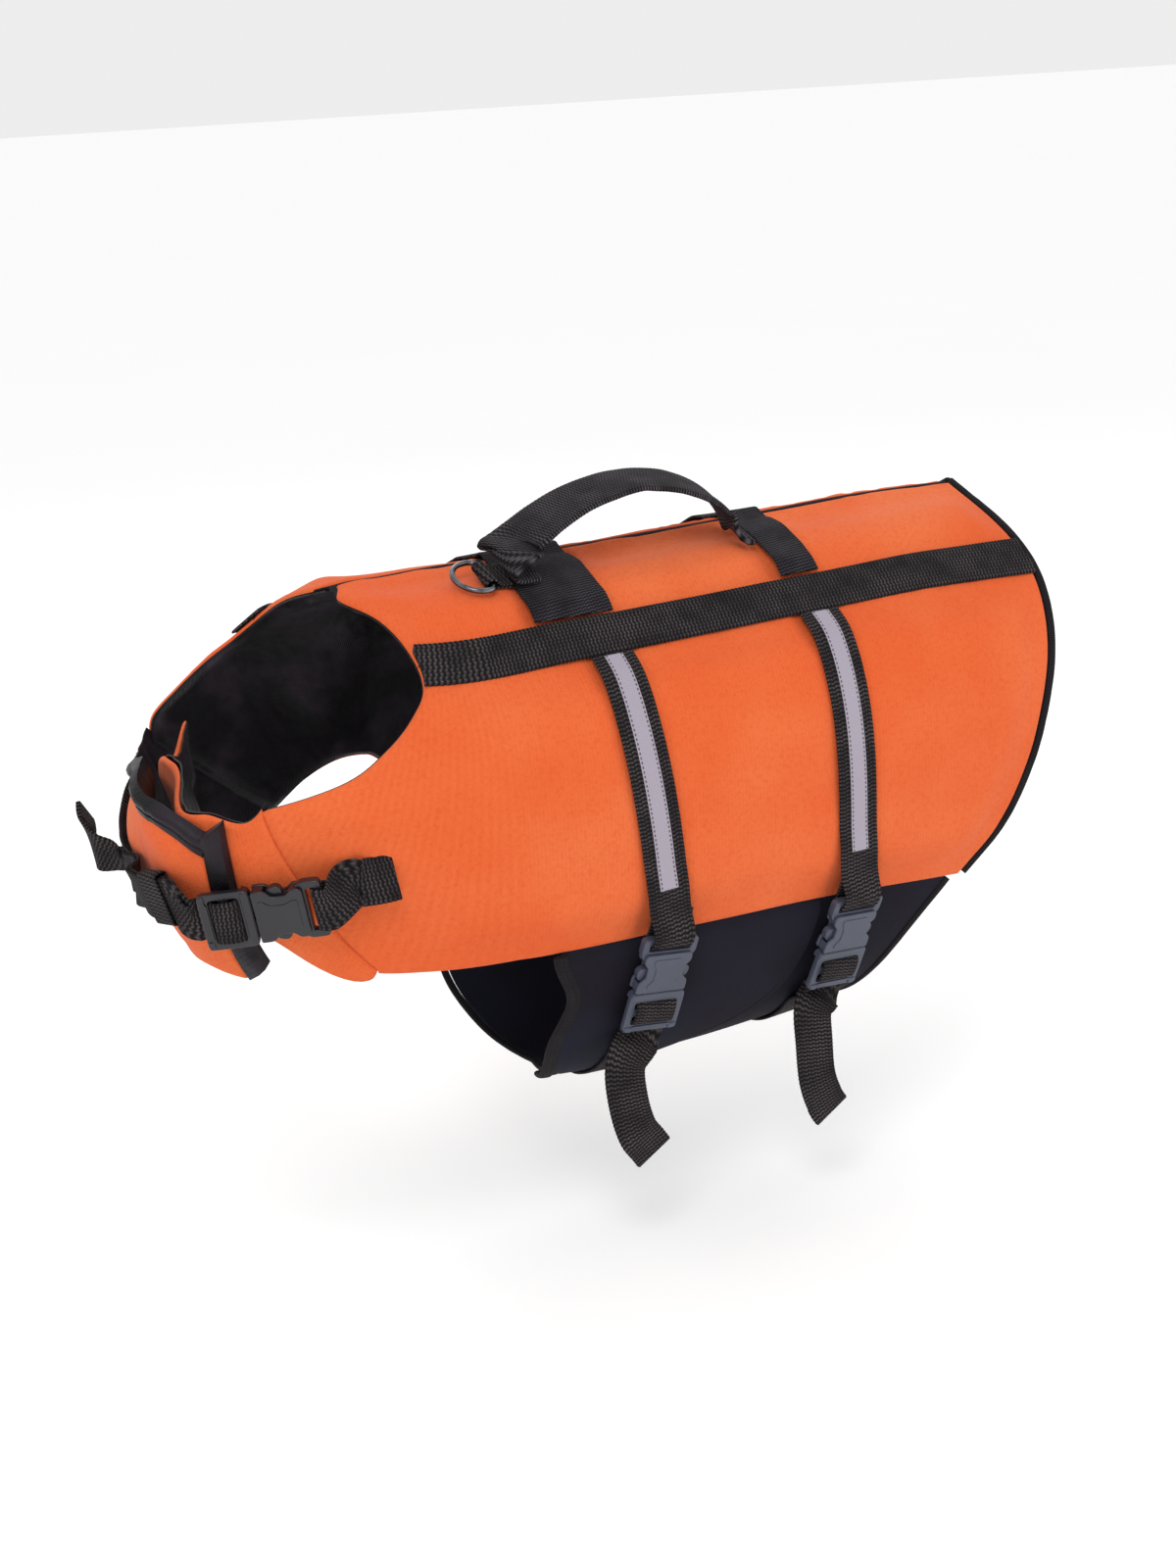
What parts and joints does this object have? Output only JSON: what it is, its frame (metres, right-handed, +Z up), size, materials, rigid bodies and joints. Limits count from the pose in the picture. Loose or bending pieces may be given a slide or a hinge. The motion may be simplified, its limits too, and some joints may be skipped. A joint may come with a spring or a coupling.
{
  "type": "dog life jacket",
  "caption": "Padded dog life jacket, filled out as worn: back and side panels with a lining, lapped chest and belly flaps, webbing straps, release buckles, a handle and a lead ring.",
  "frame": {"origin": "inner face of the back, on the spine, half way along it, where the wearer's back holds the jacket up", "axes": "+Z up, -X towards the head, -Y the jacket's left side"},
  "size_m": [0.552, 0.2481, 0.3907],
  "materials": {
    "orange_cloth": "woven polyester",
    "lining_cloth": "smooth lining",
    "spine_cloth": "coarse woven strip",
    "reflective_tape": "retro-reflective tape",
    "belly_cloth": "stretch neoprene",
    "webbing": "ribbed webbing",
    "grey_plastic": "fine satin",
    "dark_plastic": "fine satin",
    "ring_metal": "polished wire"
  },
  "bodies": {
    "jacket": {"back_panel_left": "orange_cloth", "side_panel_left": "orange_cloth", "lining_left": "lining_cloth", "back_panel_right": "orange_cloth", "side_panel_right": "orange_cloth", "lining_right": "lining_cloth", "chest_flap_left": "orange_cloth", "chest_lining_left": "lining_cloth", "chest_flap_right": "orange_cloth", "chest_lining_right": "lining_cloth", "spine_strip": "spine_cloth", "long_webbing_left": "webbing", "long_webbing_right": "webbing", "rear_binding_left": "webbing", "rear_binding_right": "webbing", "belly_flap_right": "belly_cloth", "belly_flap_left": "belly_cloth", "leg_binding_left": "webbing", "leg_binding_right": "webbing", "belly_binding": "webbing", "front_band": "webbing", "rear_band": "webbing", "girth_buckle_front_socket": "grey_plastic", "girth_buckle_front_prongs": "grey_plastic", "girth_strap_left_front": "webbing", "girth_strap_right_front": "webbing", "reflective_left_front": "reflective_tape", "reflective_right_front": "reflective_tape", "girth_buckle_rear_socket": "grey_plastic", "girth_buckle_rear_prongs": "grey_plastic", "girth_strap_left_rear": "webbing", "girth_strap_right_rear": "webbing", "reflective_left_rear": "reflective_tape", "reflective_right_rear": "reflective_tape", "chest_buckle_socket": "dark_plastic", "chest_buckle_prongs": "dark_plastic", "chest_strap_fixed": "webbing", "chest_strap_adjusting": "webbing", "keeper": "webbing", "d_ring_tab": "webbing", "handle": "webbing"},
    "lead_ring": {"d_ring": "ring_metal"}
  },
  "joints": [
    {"name": "ring_swing", "type": "hinge", "parent": "jacket", "child": "lead_ring", "pos_m": [-0.12087, -0.0363, 0.00194], "axis": [0.0003, 0.9188, 0.3947], "range_deg": [0, 88]}
  ]
}
